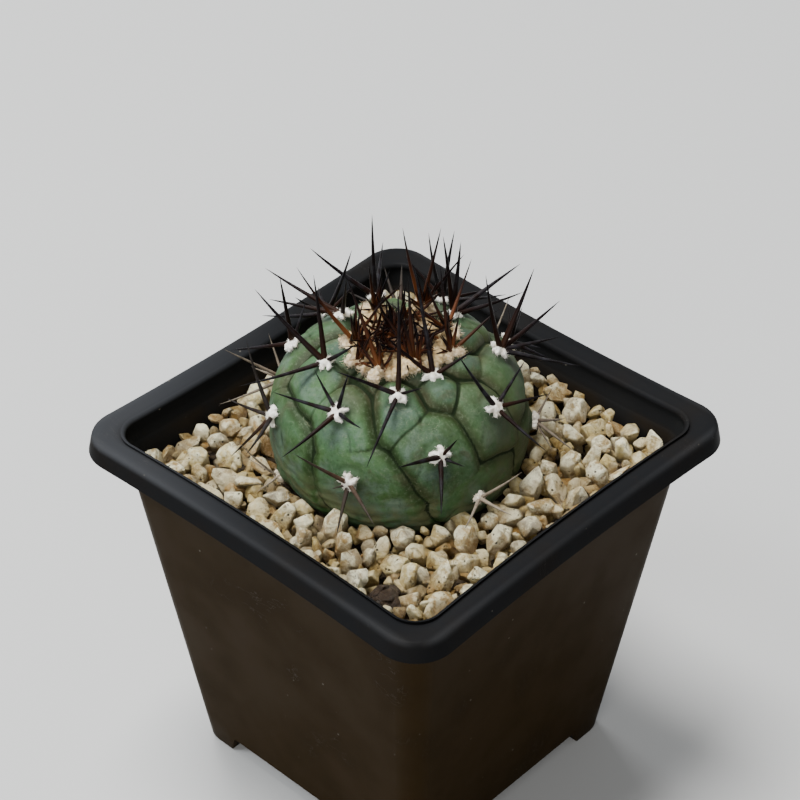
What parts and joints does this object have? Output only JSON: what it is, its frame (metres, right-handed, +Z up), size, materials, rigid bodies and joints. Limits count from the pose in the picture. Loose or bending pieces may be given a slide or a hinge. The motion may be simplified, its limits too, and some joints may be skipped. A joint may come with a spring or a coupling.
{
  "type": "potted copiapoa cinerea",
  "caption": "Small round grey-green cactus with black spines and white wool, in a square black nursery pot topped with pale gravel.",
  "frame": {"origin": "on the ground under the middle of the pot, in the plane of its four feet", "axes": "+Z up along the plant, X and Y along the sides of the square pot; the picture looks over the corner at +X -Y"},
  "size_m": [0.0914, 0.0914, 0.1186],
  "materials": {
    "pot": "satin",
    "potting_mix": "matte",
    "gravel": "matte",
    "cactus_skin": "satin",
    "wool": "matte",
    "spines": "satin"
  },
  "bodies": {
    "root": {"pot": "pot", "potting_mix": "potting_mix", "gravel": "gravel", "stem": "cactus_skin", "crown": "wool", "areole_08": "spines", "areole_09": "spines", "areole_10": "spines", "areole_11": "spines", "areole_12": "spines", "areole_13": "spines", "areole_14": "spines", "areole_15": "spines", "areole_16": "spines", "areole_17": "spines", "areole_18": "spines", "areole_19": "spines", "areole_20": "spines", "areole_21": "spines", "areole_22": "spines", "areole_23": "spines", "areole_24": "spines", "areole_25": "spines", "areole_26": "spines", "areole_27": "spines", "areole_28": "spines", "areole_29": "spines"}
  },
  "joints": []
}
